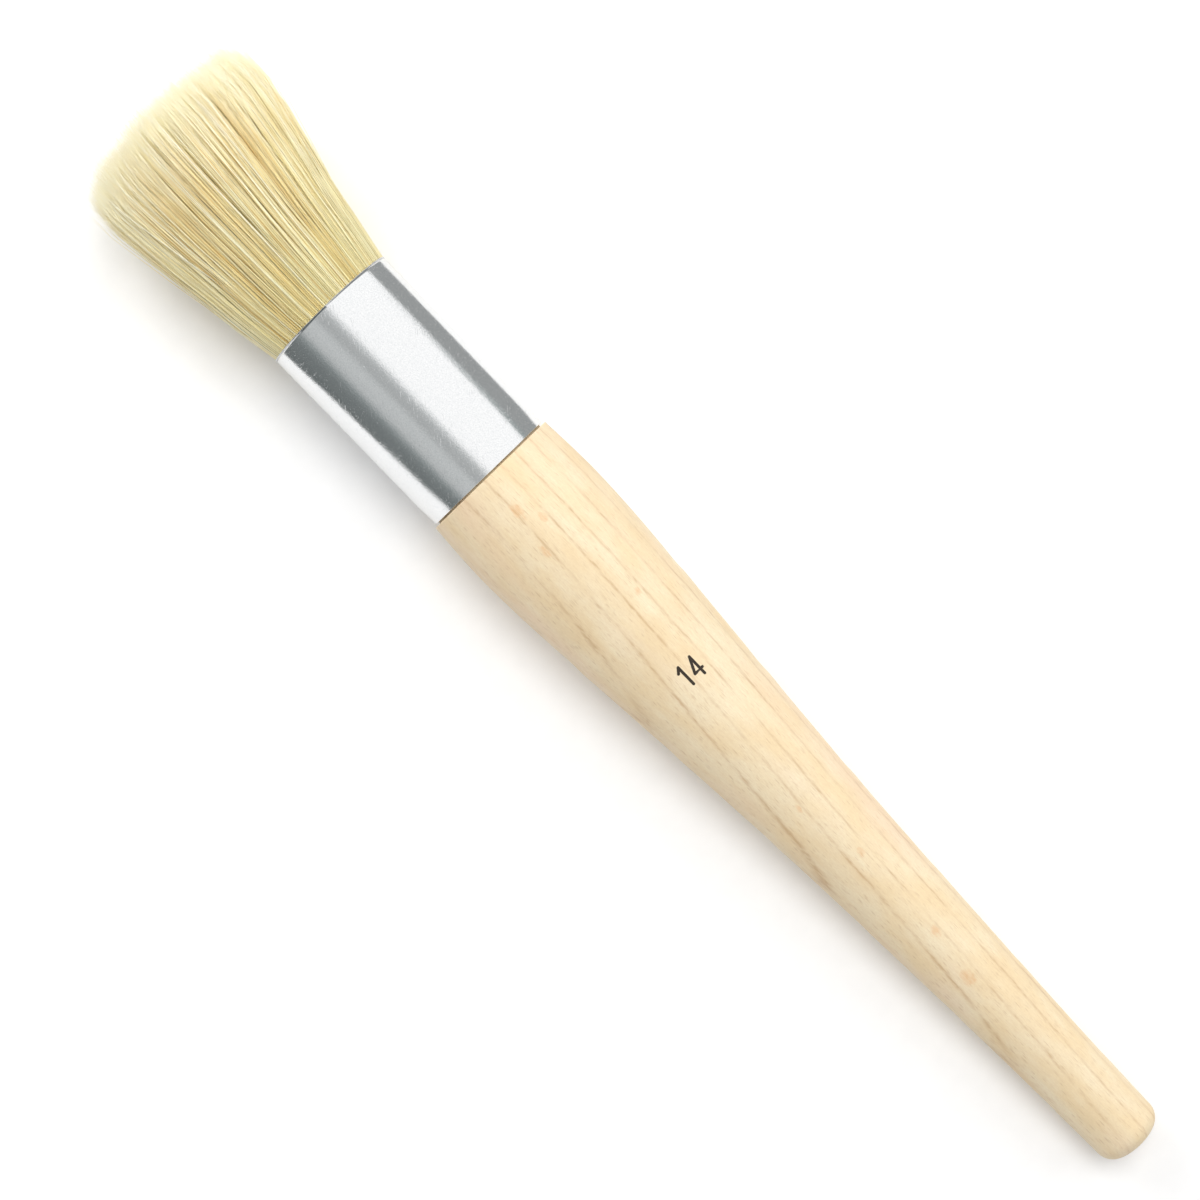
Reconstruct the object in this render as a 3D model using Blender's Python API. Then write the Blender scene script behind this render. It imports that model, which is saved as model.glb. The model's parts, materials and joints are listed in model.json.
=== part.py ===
"""Round stencil brush with a 20 mm tuft, lying on its side as it is put down on a table.

A turned beech handle, a seamless aluminium ferrule and a flared tuft of hog bristle whose roots stand
in a resin setting. Blender units are metres and +Z is up.

Every piece is built along one axis, where x is 0 at the ferrule's mouth, negative towards the bristle
tips and positive towards the handle's butt. lay_on_table() then tilts the whole brush until its tuft and
its butt both rest on z = 0, and centres it over the origin.
"""

import math

import bmesh
import bpy
import numpy as np
from mathutils import Matrix

MM = 0.001
FIT_GAP = 0.3 * MM  # room left between pieces that are glued or pressed together

# Ferrule: a seamless tube
FERRULE_RADIUS = 10.5 * MM
FERRULE_WALL = 0.4 * MM
FERRULE_LENGTH = 32.0 * MM
FERRULE_EDGE = 0.12 * MM  # broken corners of the tube's two cut ends
BORE_RADIUS = FERRULE_RADIUS - FERRULE_WALL
INSIDE_RADIUS = BORE_RADIUS - FIT_GAP  # of everything that fills the ferrule

# Bristles
ROOT_DEPTH = 12.0 * MM  # how far the bristles reach into the ferrule
FREE_LENGTH = 36.0 * MM  # how far they stand out of it
# the tuft's outer radius along the axis: straight in the bore, flaring outside, drawn in at the tips
TUFT_OUTLINE = [
    (ROOT_DEPTH, INSIDE_RADIUS),
    (0.2 * MM, INSIDE_RADIUS),
    (-2.0 * MM, 10.7 * MM),
    (-10.0 * MM, 12.0 * MM),
    (-21.0 * MM, 14.1 * MM),
    (-31.0 * MM, 15.5 * MM),
    (-FREE_LENGTH, 14.5 * MM),
]
LOCK_RINGS = ("core", "inner", "middle", "outer")  # 1, 6, 12 and 18 locks
LOCKS_PER_STEP = 6  # each ring has this many more locks than the one inside it
LOCK_GAP = 0.3 * MM
LOCK_CORNERS = 12
LOCK_SQUARENESS = 0.55  # 1 is an ellipse, smaller is nearer a full sector
CROWN = 1.0 * MM  # how much shorter the outer locks are than the core
BLUNT_TIP = 0.72  # a lock's width at its very end, as a share of its width just before it
BLUNT_LENGTH = 0.9 * MM

# Resin behind the roots, then the handle's tenon
RESIN_LENGTH = 5.7 * MM
RESIN_START = ROOT_DEPTH + FIT_GAP
TENON_START = RESIN_START + RESIN_LENGTH + FIT_GAP
TENON_CHAMFER = 0.6 * MM

# Handle, whose outline is a smooth curve through (distance behind the shoulder, radius)
SHOULDER = FERRULE_LENGTH + FIT_GAP
HANDLE_LENGTH = 132.3 * MM
BUTT_RADIUS = 5.1 * MM
BUTT_ROUNDING = 2.5 * MM
SHOULDER_CHAMFER = 0.3 * MM
HANDLE_OUTLINE = [
    (SHOULDER_CHAMFER, 10.75 * MM),
    (8.5 * MM, 11.15 * MM),
    (16.0 * MM, 11.0 * MM),
    (27.0 * MM, 10.3 * MM),
    (48.0 * MM, 8.75 * MM),
    (72.0 * MM, 7.2 * MM),
    (98.0 * MM, 6.05 * MM),
    (118.0 * MM, 5.35 * MM),
    (HANDLE_LENGTH - BUTT_ROUNDING, BUTT_RADIUS),
]
OUTLINE_STEPS = 28
ROUNDING_STEPS = 5

SIDES = 48  # of every turned piece, with a flat side down
SHARP_ANGLE = math.radians(35)
WELD = 1e-6

# Laying the brush down: the tilt is found by halving the range it lies in
STEEPEST_TILT = math.radians(10)
TILT_HALVINGS = 50


def clear_scene():
    for obj in list(bpy.data.objects):
        bpy.data.objects.remove(obj)


def material(name, color, roughness, metallic=0.0):
    made = bpy.data.materials.new(name)
    made.use_nodes = True
    shader = made.node_tree.nodes["Principled BSDF"]
    shader.inputs["Base Color"].default_value = (*color, 1.0)
    shader.inputs["Roughness"].default_value = roughness
    shader.inputs["Metallic"].default_value = metallic
    return made


def add_object(name, bm, finish, parent):
    """Turns a bmesh into a named object on the brush's axis."""
    bmesh.ops.remove_doubles(bm, verts=bm.verts, dist=WELD)
    bmesh.ops.recalc_face_normals(bm, faces=bm.faces)
    mesh = bpy.data.meshes.new(name)
    bm.to_mesh(mesh)
    bm.free()
    mesh.shade_smooth()
    mesh.set_sharp_from_angle(angle=SHARP_ANGLE)
    mesh.materials.append(finish)
    obj = bpy.data.objects.new(name, mesh)
    bpy.context.scene.collection.objects.link(obj)
    obj.parent = parent
    return obj


def curve_through(points, x):
    """A smooth curve through the points, read at x: a cubic Hermite spline on their mean slopes."""
    xs, ys = np.array(sorted(points)).T
    slopes = np.gradient(ys, xs)
    i = int(np.clip(np.searchsorted(xs, x) - 1, 0, len(xs) - 2))
    step = xs[i + 1] - xs[i]
    t = (x - xs[i]) / step
    start = (1 + 2 * t) * (1 - t) ** 2 * ys[i] + t * (1 - t) ** 2 * step * slopes[i]
    end = t * t * (3 - 2 * t) * ys[i + 1] + t * t * (t - 1) * step * slopes[i + 1]
    return start + end


def turned(profile, closed_ring=False):
    """Spins a profile of (x, radius) points once round the axis."""
    bm = bmesh.new()
    verts = [bm.verts.new((x, 0.0, radius)) for x, radius in profile]
    edges = [bm.edges.new(pair) for pair in zip(verts, verts[1:])]
    if closed_ring:
        edges.append(bm.edges.new((verts[-1], verts[0])))
    half_side = Matrix.Rotation(math.pi / SIDES, 3, "X")
    bmesh.ops.rotate(bm, verts=verts, cent=(0, 0, 0), matrix=half_side)
    bmesh.ops.spin(
        bm, geom=verts + edges, axis=(1, 0, 0), cent=(0, 0, 0), angle=math.tau, steps=SIDES
    )
    return bm


def ferrule(parent, finish):
    """The tube: outer wall, inner wall, and both cut ends with broken corners."""
    outer, inner, edge = FERRULE_RADIUS, BORE_RADIUS, FERRULE_EDGE
    profile = [
        (edge, outer),
        (FERRULE_LENGTH - edge, outer),
        (FERRULE_LENGTH, outer - edge),
        (FERRULE_LENGTH, inner + edge),
        (FERRULE_LENGTH - edge, inner),
        (edge, inner),
        (0.0, inner + edge),
        (0.0, outer - edge),
    ]
    return add_object("ferrule", turned(profile, closed_ring=True), finish, parent)


def resin_setting(parent, finish):
    """The plug of set resin that the bristle roots stand in."""
    end = RESIN_START + RESIN_LENGTH
    profile = [(RESIN_START, 0.0), (RESIN_START, INSIDE_RADIUS), (end, INSIDE_RADIUS), (end, 0.0)]
    return add_object("resin_setting", turned(profile), finish, parent)


def handle(parent, finish):
    """Tenon, shoulder, belly, long taper and rounded butt with a flat end."""
    profile = [
        (TENON_START, 0.0),
        (TENON_START, INSIDE_RADIUS - TENON_CHAMFER),
        (TENON_START + TENON_CHAMFER, INSIDE_RADIUS),
        (SHOULDER, INSIDE_RADIUS),
        (SHOULDER, HANDLE_OUTLINE[0][1] - SHOULDER_CHAMFER),
    ]
    for distance in np.linspace(HANDLE_OUTLINE[0][0], HANDLE_OUTLINE[-1][0], OUTLINE_STEPS + 1):
        profile.append((SHOULDER + distance, curve_through(HANDLE_OUTLINE, distance)))
    rounding_start = SHOULDER + HANDLE_LENGTH - BUTT_ROUNDING
    for step in range(1, ROUNDING_STEPS + 1):
        angle = step / ROUNDING_STEPS * math.pi / 2
        x = rounding_start + BUTT_ROUNDING * math.sin(angle)
        profile.append((x, BUTT_RADIUS - BUTT_ROUNDING * (1 - math.cos(angle))))
    profile.append((SHOULDER + HANDLE_LENGTH, 0.0))
    return add_object("handle", turned(profile), finish, parent)


def lock_section(ring, turn, tuft_radius):
    """One lock's section as (radius, angle) points: a rounded sector of its ring, or the core's disc."""
    pitch = tuft_radius / (len(LOCK_RINGS) - 0.5)
    half_height = (pitch - LOCK_GAP) / 2
    points = []
    for corner in range(LOCK_CORNERS):
        around = math.tau * (corner + 0.5) / LOCK_CORNERS
        if ring == 0:
            points.append((half_height, around))
            continue
        out = math.copysign(abs(math.cos(around)) ** LOCK_SQUARENESS, math.cos(around))
        side = math.copysign(abs(math.sin(around)) ** LOCK_SQUARENESS, math.sin(around))
        radius = ring * pitch + half_height * out
        half_turn = math.pi / (ring * LOCKS_PER_STEP) - LOCK_GAP / 2 / radius
        points.append((radius, turn + half_turn * side))
    return points


def narrowed(section, share):
    """The section drawn in towards its own middle."""
    flat = np.array([(r * math.cos(a), r * math.sin(a)) for r, a in section])
    middle = flat.mean(axis=0)
    return [(math.hypot(*p), math.atan2(p[1], p[0])) for p in middle + (flat - middle) * share]


def bristle_lock(name, ring, turn, parent, finish):
    """One lock of bristles from its roots to its blunt tip, fanning out with the tuft."""
    tip = -FREE_LENGTH + CROWN * (ring / (len(LOCK_RINGS) - 1)) ** 2
    stations = [x for x, _ in TUFT_OUTLINE[:-1]] + [tip + BLUNT_LENGTH, tip]
    bm = bmesh.new()
    loops = []
    for x in stations:
        tuft_radius = curve_through(TUFT_OUTLINE, x) if x < 0 else INSIDE_RADIUS
        section = lock_section(ring, turn, tuft_radius)
        if x == tip:
            section = narrowed(section, BLUNT_TIP)
        loops.append([bm.verts.new((x, r * math.sin(a), r * math.cos(a))) for r, a in section])
    for near, far in zip(loops, loops[1:]):
        for i, vert in enumerate(near):
            after = (i + 1) % len(near)
            bm.faces.new((vert, near[after], far[after], far[i]))
    bm.faces.new(loops[0])
    bm.faces.new(loops[-1])
    return add_object(name, bm, finish, parent)


def bristle_locks(parent, finish):
    made = [bristle_lock("bristle_lock_core", 0, 0.0, parent, finish)]
    for ring, ring_name in list(enumerate(LOCK_RINGS))[1:]:
        count = ring * LOCKS_PER_STEP
        for place in range(count):
            name = f"bristle_lock_{ring_name}_{place + 1:02d}"
            # half a step round, so that two outer locks share the load at the bottom
            made.append(bristle_lock(name, ring, math.tau * (place + 0.5) / count, parent, finish))
    return made


def corners_of(objects):
    """Every corner of the pieces, along the brush's axis before it is laid down."""
    return np.array([vert.co for obj in objects for vert in obj.data.vertices])


def lay_on_table(axis, tuft, others):
    """Tilts the brush about Y until tuft and butt are equally low, then puts it on z = 0."""
    bristles, rest = corners_of(tuft), corners_of(others)
    butt = rest[rest[:, 0] > SHOULDER + HANDLE_LENGTH / 2]

    def lowest(corners, tilt):
        return (corners[:, 2] * math.cos(tilt) - corners[:, 0] * math.sin(tilt)).min()

    level, steep = 0.0, STEEPEST_TILT
    for _ in range(TILT_HALVINGS):
        tilt = (level + steep) / 2
        if lowest(bristles, tilt) < lowest(butt, tilt):
            level = tilt
        else:
            steep = tilt
    turn = Matrix.Rotation(tilt, 3, "Y")
    laid = np.vstack([bristles, rest]) @ np.array(turn).T
    low, high = laid.min(axis=0), laid.max(axis=0)
    axis.rotation_euler = (0.0, tilt, 0.0)
    axis.location = (-(low[0] + high[0]) / 2, -(low[1] + high[1]) / 2, -low[2])


def main():
    clear_scene()
    axis = bpy.data.objects.new("brush_axis", None)
    bpy.context.scene.collection.objects.link(axis)
    beech = material("beech", (0.78, 0.62, 0.44), 0.55)
    aluminium = material("aluminium", (0.80, 0.81, 0.82), 0.22, metallic=1.0)
    resin = material("resin", (0.62, 0.46, 0.22), 0.3)
    hog_bristle = material("hog_bristle", (0.72, 0.60, 0.36), 0.6)
    tuft = bristle_locks(axis, hog_bristle)
    others = [ferrule(axis, aluminium), resin_setting(axis, resin), handle(axis, beech)]
    lay_on_table(axis, tuft, others)


main()
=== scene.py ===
"""Looks of the round stencil brush: turned beech, polished aluminium tube and a tuft of hog bristles.

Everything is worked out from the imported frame. Pieces are modelled along the brush's own axis, where x is 0
at the ferrule's mouth, negative towards the bristle tips and positive towards the handle's butt.
"""

import json
import math

import bpy
import numpy as np
from mathutils import Matrix, Vector

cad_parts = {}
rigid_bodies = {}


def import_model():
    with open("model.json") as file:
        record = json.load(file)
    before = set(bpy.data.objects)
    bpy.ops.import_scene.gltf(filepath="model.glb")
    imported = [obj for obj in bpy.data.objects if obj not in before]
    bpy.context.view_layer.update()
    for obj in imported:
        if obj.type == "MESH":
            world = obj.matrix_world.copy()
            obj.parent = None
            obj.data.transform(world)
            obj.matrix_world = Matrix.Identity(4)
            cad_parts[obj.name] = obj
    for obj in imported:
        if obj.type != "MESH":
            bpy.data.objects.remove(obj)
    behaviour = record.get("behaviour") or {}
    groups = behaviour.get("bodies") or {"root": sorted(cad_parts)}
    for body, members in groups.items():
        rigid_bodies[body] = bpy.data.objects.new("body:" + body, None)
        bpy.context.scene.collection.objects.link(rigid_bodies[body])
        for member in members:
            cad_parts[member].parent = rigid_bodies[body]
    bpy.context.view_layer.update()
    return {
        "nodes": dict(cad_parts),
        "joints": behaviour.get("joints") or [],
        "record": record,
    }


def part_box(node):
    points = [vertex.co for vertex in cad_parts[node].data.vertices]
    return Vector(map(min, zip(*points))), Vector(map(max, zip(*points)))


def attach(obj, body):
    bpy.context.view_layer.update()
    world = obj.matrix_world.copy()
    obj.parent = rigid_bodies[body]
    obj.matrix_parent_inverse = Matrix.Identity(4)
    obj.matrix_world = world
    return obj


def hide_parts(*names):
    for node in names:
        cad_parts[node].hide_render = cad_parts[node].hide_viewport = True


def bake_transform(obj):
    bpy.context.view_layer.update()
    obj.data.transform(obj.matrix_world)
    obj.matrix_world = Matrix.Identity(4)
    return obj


MM = 0.001

# ---------------------------------------------------------------- the frame

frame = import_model()
record = frame["record"]
bend = frame["joints"][0]
HOLDER, TUFT = bend["parent"], bend["child"]
butt_face = next(m for m in record["mounts"] if m["name"] == "butt_face")

MOUTH = Vector(bend["pos_m"])
ALONG = Vector(butt_face["axis"]).normalized()
ACROSS = Vector((0.0, 1.0, 0.0))
UP = ALONG.cross(ACROSS)
AXIS_FRAME = Matrix((ALONG, ACROSS, UP)).transposed().to_4x4()
AXIS_FRAME.translation = MOUTH


PLACE_STEP = 0.1 * MM  # what places along the axis are rounded to


def rings_of(nodes):
    """The (x, radius) outline of turned CAD nodes: the widest radius found at each place along the axis."""
    to_axis = AXIS_FRAME.inverted()
    widest = {}
    for node in nodes:
        for vert in frame["nodes"][node].data.vertices:
            x, y, z = to_axis @ vert.co
            place = round(x / MM, 1)
            widest[place] = max(widest.get(place, 0.0), math.hypot(y, z))
    places = sorted(widest)
    return np.array(places) * MM, np.array([widest[p] for p in places])


LOCKS = sorted(node for node in frame["nodes"] if node.startswith("bristle_lock"))
OUTER_LOCKS = [node for node in LOCKS if "outer" in node]
HANDLE_X, HANDLE_R = rings_of(["handle"])
TUFT_X, TUFT_R = rings_of(OUTER_LOCKS)
FERRULE_X, FERRULE_R = rings_of(["ferrule"])

FERRULE_RADIUS = FERRULE_R.max()
FERRULE_LENGTH = FERRULE_X.max()
FERRULE_WALL = 0.4 * MM
BORE_RADIUS = FERRULE_RADIUS - FERRULE_WALL
BUTT_END = HANDLE_X.max()
FREE_LENGTH = -(AXIS_FRAME.inverted() @ Vector(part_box("bristle_lock_core")[0])).x


def smooth_curve(xs, ys, x):
    """A cubic Hermite spline through the points, on their mean slopes, read at every x."""
    slopes = np.gradient(ys, xs)
    i = np.clip(np.searchsorted(xs, x) - 1, 0, len(xs) - 2)
    step = xs[i + 1] - xs[i]
    t = np.clip((x - xs[i]) / step, 0.0, 1.0)
    start = (1 + 2 * t) * (1 - t) ** 2 * ys[i] + t * (1 - t) ** 2 * step * slopes[i]
    end = t * t * (3 - 2 * t) * ys[i + 1] + t * t * (t - 1) * step * slopes[i + 1]
    return start + end


def smooth_step(low, high, x):
    """0 up to low, 1 from high on, and a smooth rise between them."""
    t = np.clip((x - low) / (high - low), 0.0, 1.0)
    return t * t * (3 - 2 * t)


# ---------------------------------------------------------------- materials


class Recipe:
    """One material and the nodes added to it. An input given as a socket is linked, any other is set."""

    def __init__(self, name):
        self.material = bpy.data.materials.new(name)
        self.material.use_nodes = True
        tree = self.material.node_tree
        self.nodes, self.links = tree.nodes, tree.links
        self.shader = self.nodes["Principled BSDF"]
        self.output = self.nodes["Material Output"]

    def fill(self, node, inputs):
        for key, value in inputs.items():
            if isinstance(value, bpy.types.NodeSocket):
                self.links.new(value, node.inputs[key])
            else:
                node.inputs[key].default_value = value

    def add(self, kind, inputs=None, **settings):
        node = self.nodes.new("ShaderNode" + kind)
        for key, value in settings.items():
            setattr(node, key, value)
        self.fill(node, inputs or {})
        return node

    def math(self, operation, *values):
        node = self.add("Math", dict(enumerate(values)), operation=operation)
        return node.outputs[0]

    def place(self, scale, turn=0.0, shift=(0.0, 0.0, 0.0), slant=0.0):
        """Object coordinates in repeats per metre, turned about the brush's axis or slanted across it."""
        coordinates = self.add("TexCoord").outputs["Object"]
        turned = self.add("Mapping", {0: coordinates, "Rotation": (turn, 0.0, slant)})
        mapped = self.add("Mapping", {0: turned.outputs[0], "Location": shift, "Scale": scale})
        return mapped.outputs[0]

    def split(self, vector):
        """The vector's X, Y and Z."""
        return self.add("SeparateXYZ", {0: vector}).outputs

    def noise(self, at, detail=2.0, roughness=0.5):
        inputs = {"Vector": at, "Scale": 1.0, "Detail": detail, "Roughness": roughness}
        return self.add("TexNoise", inputs).outputs["Fac"]

    def ramp(self, value, *stops):
        """A colour ramp. A stop is (position, colour), or (position, grey)."""
        node = self.add("ValToRGB", {0: value})
        elements = node.color_ramp.elements
        while len(elements) < len(stops):
            elements.new(1.0)
        for element, (position, colour) in zip(elements, stops):
            element.position = position
            is_grey = isinstance(colour, (int, float))
            element.color = (colour, colour, colour, 1.0) if is_grey else colour
        return node.outputs["Color"]

    def range(self, value, low, high, to_low, to_high):
        inputs = {0: value, "From Min": low, "From Max": high, "To Min": to_low, "To Max": to_high}
        return self.add("MapRange", inputs).outputs[0]

    def mix(self, share, a, b, blend="MIX"):
        node = self.add("Mix", {0: share, 6: a, 7: b}, data_type="RGBA", blend_type=blend)
        return node.outputs[2]

    def bump(self, height, distance, strength, under=None):
        inputs = {"Height": height, "Distance": distance, "Strength": strength}
        if under is not None:
            inputs["Normal"] = under
        return self.add("Bump", inputs).outputs[0]

    def finish(self, **inputs):
        """Sets the Principled shader's inputs and gives the material."""
        self.fill(self.shader, {key.replace("_", " "): value for key, value in inputs.items()})
        return self.material

    def finish_with(self, shader):
        """Puts another shader node in the Principled one's place and gives the material."""
        self.links.new(shader.outputs[0], self.output.inputs["Surface"])
        return self.material


def srgb(red, green, blue):
    """A colour given as it looks on screen, from 0 to 255, as the linear RGBA that nodes use."""
    share = np.array([red, green, blue]) / 255
    linear = np.where(share <= 0.04045, share / 12.92, ((share + 0.055) / 1.055) ** 2.4)
    return (*(float(v) for v in linear), 1.0)


PER_MM = 1 / MM
RING_TURN = math.radians(28)  # the growth rings' planes, turned about the brush's axis
RING_SPACING = 2.9  # mm
RING_SLANT = 0.022  # how far the rings run out of line with the axis
RING_WANDER = 3.2  # mm, in slow waves along the wood
RING_RIPPLE = 0.35  # mm, in quick ones
RING_BOW = 0.006  # per mm, how far the rings' planes are curved
# Across one growth ring: (place, how dark)
RING_SHADE = ((0.0, 1.0), (0.03, 0.6), (0.09, 0.14), (0.4, 0.0), (0.9, 0.1), (0.975, 0.85))
# Ray flecks of two sizes: (shift, repeats per metre)
RAY_FLECKS = (((0, 0, 0), (430, 4200, 1500)), ((7, 3, 9), (620, 5200, 2100)))
# Small knots and stains: (mm behind the mouth, mm across, mm long, mm wide)
STAINS = (
    (38.4, -0.8, 1.5, 0.7),
    (41.6, 1.2, 0.9, 0.5),
    (45.0, -2.0, 1.1, 0.5),
    (58.0, 3.4, 0.7, 0.4),
    (95.5, -1.6, 0.7, 0.4),
    (106.0, 0.5, 0.9, 0.45),
    (121.6, 0.2, 1.0, 0.7),
    (129.5, -1.0, 1.2, 0.9),
)
WOOD_PALE = srgb(240, 225, 193)
WOOD_WARM = srgb(236, 214, 174)
WOOD_ROSY = srgb(242, 215, 190)
WOOD_STREAK = srgb(230, 205, 166)
WOOD_FIBRE = srgb(216, 186, 144)
WOOD_GRAIN = srgb(216, 188, 150)
WOOD_RING = srgb(190, 152, 108)
WOOD_RAY_FLECK = srgb(182, 142, 98)
WOOD_STAIN = srgb(222, 166, 108)


def growth_rings(r):
    """How dark the growth rings are: planes square to the turned Y, bent by waves, faded and broken up."""
    at = r.split(r.place((PER_MM,) * 3, RING_TURN))
    slow = r.noise(r.place((9, 40, 40), RING_TURN), detail=1.0)
    quick = r.noise(r.place((60, 260, 260), RING_TURN))
    depth = r.math("ADD", at["Y"], r.math("MULTIPLY", at["X"], RING_SLANT))
    depth = r.math("ADD", depth, r.math("MULTIPLY", slow, RING_WANDER))
    depth = r.math("ADD", depth, r.math("MULTIPLY", quick, RING_RIPPLE))
    bow = r.math("MULTIPLY", r.math("MULTIPLY", at["Z"], at["Z"]), RING_BOW)
    place_in_ring = r.math("FRACT", r.math("DIVIDE", r.math("ADD", depth, bow), RING_SPACING))
    shade = r.ramp(place_in_ring, *RING_SHADE)
    fade = r.noise(r.place((70, 380, 380), RING_TURN, (3, 5, 1)), detail=3.0, roughness=0.6)
    dashes = r.noise(r.place((650, 2600, 2600), RING_TURN, (1, 2, 8)))
    faded, dashed = r.range(fade, 0.38, 0.6, 0.25, 1.0), r.range(dashes, 0.38, 0.6, 0.35, 1.0)
    return r.math("MULTIPLY", shade, r.math("MULTIPLY", faded, dashed))


def ray_flecks(r):
    """How strong the ray flecks are: short thin spindles lying along the grain."""
    flecks = []
    for shift, size in RAY_FLECKS:
        cell = r.add("TexVoronoi", {"Vector": r.place(size, RING_TURN, shift), "Scale": 1.0})
        spindle = r.range(cell.outputs["Distance"], 0.12, 0.36, 1.0, 0.0)
        chance = r.add("SeparateColor", {0: cell.outputs["Color"]}).outputs[0]
        flecks.append(r.math("MULTIPLY", spindle, r.range(chance, 0.3, 1.0, 0.0, 1.0)))
    return r.math("MAXIMUM", *flecks)


def stained(r, colour):
    """The colour with small ragged knots and stains on the wood's upper side."""
    at = r.split(r.place((PER_MM,) * 3))
    ragged = r.range(r.noise(r.place((900, 1800, 1800)), detail=3.0, roughness=0.65), 0.3, 0.7, -0.8, 0.8)
    above = r.math("GREATER_THAN", at["Z"], 0.0)
    for x, y, length, width in STAINS:
        dx = r.math("DIVIDE", r.math("SUBTRACT", at["X"], x), length)
        dy = r.math("DIVIDE", r.math("SUBTRACT", at["Y"], y), width)
        away = r.math("ADD", r.math("MULTIPLY", dx, dx), r.math("MULTIPLY", dy, dy))
        away = r.math("ADD", away, ragged)
        stain = r.math("MULTIPLY", r.range(away, 0.0, 1.3, 0.42, 0.0), above)
        colour = r.mix(stain, colour, WOOD_STAIN)
    return colour


def beech():
    r = Recipe("beech")
    ring, fleck = growth_rings(r), ray_flecks(r)
    # pores and fibres: very fine streaks, and broader ones between them
    fibre = r.noise(r.place((420, 7000, 7000)), detail=3.0, roughness=0.65)
    streak = r.noise(r.place((45, 1100, 1100), shift=(2, 8, 4)), detail=3.0, roughness=0.6)
    grain = r.noise(r.place((2600, 5200, 5200)))
    # broad soft patches
    mottle = r.noise(r.place((85, 210, 210), shift=(4, 1, 7)), detail=3.0, roughness=0.6)
    rosy = r.noise(r.place((40, 120, 120), shift=(9, 9, 2)))
    colour = r.mix(r.range(mottle, 0.38, 0.62, 0.0, 1.0), WOOD_PALE, WOOD_WARM)
    colour = r.mix(r.range(rosy, 0.5, 0.72, 0.0, 0.5), colour, WOOD_ROSY)
    colour = r.mix(r.range(streak, 0.35, 0.75, 0.0, 0.32), colour, WOOD_STREAK)
    colour = r.mix(r.range(fibre, 0.45, 0.85, 0.0, 0.4), colour, WOOD_FIBRE)
    colour = r.mix(r.range(grain, 0.35, 0.65, 0.0, 0.2), colour, WOOD_GRAIN)
    colour = r.mix(r.math("MULTIPLY", ring, 0.74), colour, WOOD_RING)
    colour = r.mix(r.math("MULTIPLY", fleck, 0.36), colour, WOOD_RAY_FLECK)
    colour = stained(r, colour)
    relief = r.math("ADD", r.math("MULTIPLY", fibre, 0.6), r.math("MULTIPLY", grain, 0.4))
    relief = r.math("SUBTRACT", relief, r.math("MULTIPLY", r.math("MAXIMUM", fleck, ring), 0.35))
    rough = r.range(streak, 0.3, 0.7, 0.5, 0.62)
    return r.finish(Base_Color=colour, Roughness=rough, Normal=r.bump(relief, 0.02 * MM, 0.5))


# Handling scratches, as sparse short strokes: (slant across the tube, repeats per metre)
SCRATCHES = ((0.5, (420, 9000, 9000)), (-0.9, (9000, 520, 520)), (0.2, (7600, 900, 900)))
METAL_DULL = srgb(232, 234, 235)
METAL_BRIGHT = srgb(251, 251, 251)
METAL_SCRATCH = srgb(252, 252, 252)


def aluminium():
    r = Recipe("aluminium")
    skin = r.noise(r.place((5200,) * 3), roughness=0.6)
    peel = r.noise(r.place((1300, 2400, 2400)))
    wear = r.noise(r.place((260, 420, 420)), detail=3.0, roughness=0.6)
    strokes = []
    for slant, size in SCRATCHES:
        strokes.append(r.range(r.noise(r.place(size, slant=slant), detail=1.0), 0.70, 0.78, 0.0, 1.0))
    scratch = r.math("MAXIMUM", r.math("MAXIMUM", strokes[0], strokes[1]), strokes[2])
    rough = r.math("ADD", r.range(wear, 0.3, 0.7, 0.07, 0.13), r.math("MULTIPLY", scratch, 0.2))
    # the cut edge at the mouth is worn matt
    behind_mouth = r.split(r.place((PER_MM,) * 3))["X"]
    rough = r.math("ADD", rough, r.range(behind_mouth, 0.08, 0.2, 0.5, 0.0))
    rough = r.math("ADD", rough, r.range(skin, 0.5, 0.7, 0.0, 0.06))
    tone = r.mix(r.range(skin, 0.3, 0.7, 0.0, 1.0), METAL_DULL, METAL_BRIGHT)
    tone = r.mix(r.math("MULTIPLY", scratch, 0.35), tone, METAL_SCRATCH)
    relief = r.bump(peel, 0.010 * MM, 0.6)
    relief = r.bump(skin, 0.013 * MM, 0.8, relief)
    relief = r.bump(scratch, 0.01 * MM, 0.6, relief)
    return r.finish(Base_Color=tone, Metallic=1.0, Roughness=rough, Normal=relief)


# A bristle's tint: (tone, colour)
BRISTLE_TINTS = (
    (0.0, srgb(226, 197, 130)),
    (0.2, srgb(247, 231, 177)),
    (0.45, srgb(254, 243, 201)),
    (0.75, srgb(255, 249, 215)),
    (0.95, srgb(255, 253, 235)),
)
# darker towards the root: partly the bristles' own colour, partly painted shade deep in the tuft by the
# ferrule
BRISTLE_ROOT_TINT_AND_SHADE = srgb(235, 233, 215)  # multiplies the tint at the root
BRISTLE_TIP = srgb(255, 254, 240)
BRISTLE_STREAK = srgb(236, 210, 148)


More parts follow.
